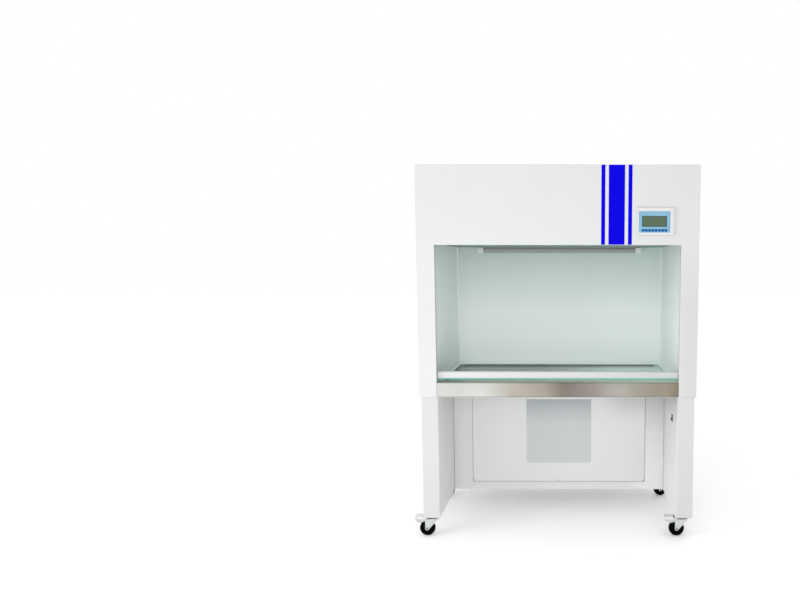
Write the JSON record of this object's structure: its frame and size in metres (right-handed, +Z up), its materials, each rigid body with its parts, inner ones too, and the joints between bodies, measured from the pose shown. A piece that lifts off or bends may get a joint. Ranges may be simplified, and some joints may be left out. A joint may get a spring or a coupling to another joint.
{
  "type": "laminar flow hood",
  "caption": "Free-standing vertical laminar flow hood: white sheet-metal cabinet with a sliding glass sash, stainless worktop, lower blower cabinet and a stand on swivel casters.",
  "frame": {"origin": "on the floor, under the middle of the hood's width and depth", "axes": "+Z up, -Y out of the front, +X to the right of someone who stands in front"},
  "size_m": [1.34, 0.7505, 1.76],
  "materials": {
    "white_coat": "semi-gloss powder coat",
    "blue_paint": "semi-gloss paint",
    "stainless": "brushed",
    "liner_coat": "semi-gloss powder coat",
    "galvanised": "matt zinc",
    "zinc_plate": "bright zinc",
    "screw_steel": "bright",
    "wheel_black": "satin",
    "sash_pane": "clear, greenish",
    "handle_white": "white coat",
    "aluminium": "anodised",
    "weight_iron": "rough",
    "pulley_plastic": "matt",
    "cable_steel": "stranded",
    "filter_mat": "matt non-woven",
    "filter_paper": "matt pleated",
    "lamp_glass": "frosted white",
    "holder_white": "satin",
    "bezel_white": "satin",
    "label_blue": "satin film",
    "lcd": "dark green",
    "key_blue": "satin",
    "board_green": "satin",
    "black_plastic": "satin",
    "switch_red": "gloss",
    "motor_paint": "satin"
  },
  "bodies": {
    "hood": {"access_panel": "white_coat", "blower_cabinet": "white_coat", "blower_housing": "galvanised", "blower_motor": "motor_paint", "blue_stripes": "blue_paint", "caster_bolts": "zinc_plate", "caster_plates": "zinc_plate", "control_bezel": "bezel_white", "control_board": "board_green", "diffuser": "liner_coat", "display": "lcd", "front_frame": "white_coat", "hepa_frame": "aluminium", "hepa_media": "filter_paper", "hood_shell": "white_coat", "keypad_panel": "label_blue", "lamp_tube": "lamp_glass", "lampholders": "holder_white", "panel_screws": "screw_steel", "plenum_housing": "galvanised", "power_inlet": "black_plastic", "prefilter_frame": "galvanised", "prefilter_media": "filter_mat", "pulley_brackets": "galvanised", "rear_duct": "galvanised", "rear_panel": "white_coat", "sash_cables": "cable_steel", "sash_guides": "aluminium", "stand_side_left": "white_coat", "stand_side_right": "white_coat", "switch_housing": "black_plastic", "work_zone_liner": "liner_coat", "worktop": "stainless"},
    "sash": {"sash_glass": "sash_pane", "sash_handle": "handle_white", "sash_hangers": "galvanised"},
    "weight_left": {"counterweight_left": "weight_iron"},
    "weight_right": {"counterweight_right": "weight_iron"},
    "pulley_l": {"pulley_left": "pulley_plastic"},
    "pulley_r": {"pulley_right": "pulley_plastic"},
    "fork_front_left": {"caster_fork_front_left": "zinc_plate"},
    "wheel_front_left": {"caster_wheel_front_left": "wheel_black"},
    "brake_front_left": {"caster_brake_front_left": "zinc_plate"},
    "fork_rear_left": {"caster_fork_rear_left": "zinc_plate"},
    "wheel_rear_left": {"caster_wheel_rear_left": "wheel_black"},
    "fork_front_right": {"caster_fork_front_right": "zinc_plate"},
    "wheel_front_right": {"caster_wheel_front_right": "wheel_black"},
    "brake_front_right": {"caster_brake_front_right": "zinc_plate"},
    "fork_rear_right": {"caster_fork_rear_right": "zinc_plate"},
    "wheel_rear_right": {"caster_wheel_rear_right": "wheel_black"},
    "key_1_body": {"key_1": "key_blue"},
    "key_2_body": {"key_2": "key_blue"},
    "key_3_body": {"key_3": "key_blue"},
    "key_4_body": {"key_4": "key_blue"},
    "key_5_body": {"key_5": "key_blue"},
    "key_6_body": {"key_6": "key_blue"},
    "key_7_body": {"key_7": "key_blue"},
    "key_8_body": {"key_8": "key_blue"},
    "impeller": {"blower_impeller": "galvanised"},
    "rocker": {"switch_rocker": "switch_red"}
  },
  "joints": [
    {"name": "sash_lift", "type": "slide", "parent": "hood", "child": "sash", "axis": [0, 0, 1], "range_m": [0, 0.31], "deforming": ["sash_cables"]},
    {"name": "weight_left_drop", "type": "slide", "parent": "hood", "child": "weight_left", "axis": [0, 0, 1], "range_m": [-0.31, 0]},
    {"name": "weight_right_drop", "type": "slide", "parent": "hood", "child": "weight_right", "axis": [0, 0, 1], "range_m": [-0.31, 0]},
    {"name": "pulley_l_turn", "type": "hinge", "parent": "hood", "child": "pulley_l", "pos_m": [-0.61, -0.2865, 1.722], "axis": [1, 0, 0], "range_deg": [-712, 0]},
    {"name": "pulley_r_turn", "type": "hinge", "parent": "hood", "child": "pulley_r", "pos_m": [0.61, -0.2865, 1.722], "axis": [1, 0, 0], "range_deg": [-712, 0]},
    {"name": "front_left_swivel", "type": "hinge", "parent": "hood", "child": "fork_front_left", "pos_m": [-0.603, -0.325, 0.08], "axis": [0, 0, 1], "continuous": true},
    {"name": "front_left_roll", "type": "hinge", "parent": "fork_front_left", "child": "wheel_front_left", "pos_m": [-0.6315, -0.325, 0.0375], "axis": [0, 1, 0], "continuous": true},
    {"name": "front_left_brake", "type": "hinge", "parent": "fork_front_left", "child": "brake_front_left", "pos_m": [-0.64, -0.325, 0.084], "axis": [0, -1, 0], "range_deg": [0, 12]},
    {"name": "rear_left_swivel", "type": "hinge", "parent": "hood", "child": "fork_rear_left", "pos_m": [-0.603, 0.212, 0.08], "axis": [0, 0, 1], "continuous": true},
    {"name": "rear_left_roll", "type": "hinge", "parent": "fork_rear_left", "child": "wheel_rear_left", "pos_m": [-0.6315, 0.212, 0.0375], "axis": [0, 1, 0], "continuous": true},
    {"name": "front_right_swivel", "type": "hinge", "parent": "hood", "child": "fork_front_right", "pos_m": [0.603, -0.325, 0.08], "axis": [0, 0, 1], "continuous": true},
    {"name": "front_right_roll", "type": "hinge", "parent": "fork_front_right", "child": "wheel_front_right", "pos_m": [0.5745, -0.325, 0.0375], "axis": [0, 1, 0], "continuous": true},
    {"name": "front_right_brake", "type": "hinge", "parent": "fork_front_right", "child": "brake_front_right", "pos_m": [0.566, -0.325, 0.084], "axis": [0, -1, 0], "range_deg": [0, 12]},
    {"name": "rear_right_swivel", "type": "hinge", "parent": "hood", "child": "fork_rear_right", "pos_m": [0.603, 0.212, 0.08], "axis": [0, 0, 1], "continuous": true},
    {"name": "rear_right_roll", "type": "hinge", "parent": "fork_rear_right", "child": "wheel_rear_right", "pos_m": [0.5745, 0.212, 0.0375], "axis": [0, 1, 0], "continuous": true},
    {"name": "key_1_press", "type": "slide", "parent": "hood", "child": "key_1_body", "axis": [0, 1, 0], "range_m": [0, 0.0005], "stiffness_N_per_m": 600},
    {"name": "key_2_press", "type": "slide", "parent": "hood", "child": "key_2_body", "axis": [0, 1, 0], "range_m": [0, 0.0005], "stiffness_N_per_m": 600},
    {"name": "key_3_press", "type": "slide", "parent": "hood", "child": "key_3_body", "axis": [0, 1, 0], "range_m": [0, 0.0005], "stiffness_N_per_m": 600},
    {"name": "key_4_press", "type": "slide", "parent": "hood", "child": "key_4_body", "axis": [0, 1, 0], "range_m": [0, 0.0005], "stiffness_N_per_m": 600},
    {"name": "key_5_press", "type": "slide", "parent": "hood", "child": "key_5_body", "axis": [0, 1, 0], "range_m": [0, 0.0005], "stiffness_N_per_m": 600},
    {"name": "key_6_press", "type": "slide", "parent": "hood", "child": "key_6_body", "axis": [0, 1, 0], "range_m": [0, 0.0005], "stiffness_N_per_m": 600},
    {"name": "key_7_press", "type": "slide", "parent": "hood", "child": "key_7_body", "axis": [0, 1, 0], "range_m": [0, 0.0005], "stiffness_N_per_m": 600},
    {"name": "key_8_press", "type": "slide", "parent": "hood", "child": "key_8_body", "axis": [0, 1, 0], "range_m": [0, 0.0005], "stiffness_N_per_m": 600},
    {"name": "impeller_spin", "type": "hinge", "parent": "hood", "child": "impeller", "pos_m": [0, 0.215, 0.25869], "axis": [1, 0, 0], "continuous": true},
    {"name": "rocker_tilt", "type": "hinge", "parent": "hood", "child": "rocker", "pos_m": [0.567, -0.226, 0.555], "axis": [0, 1, 0], "range_deg": [-20, 0]}
  ],
  "couplings": [
    {"joint": "weight_left_drop", "follows": "sash_lift", "ratio": -1},
    {"joint": "weight_right_drop", "follows": "sash_lift", "ratio": -1},
    {"joint": "pulley_l_turn", "follows": "sash_lift", "rad_per_m": -40},
    {"joint": "pulley_r_turn", "follows": "sash_lift", "rad_per_m": -40}
  ]
}
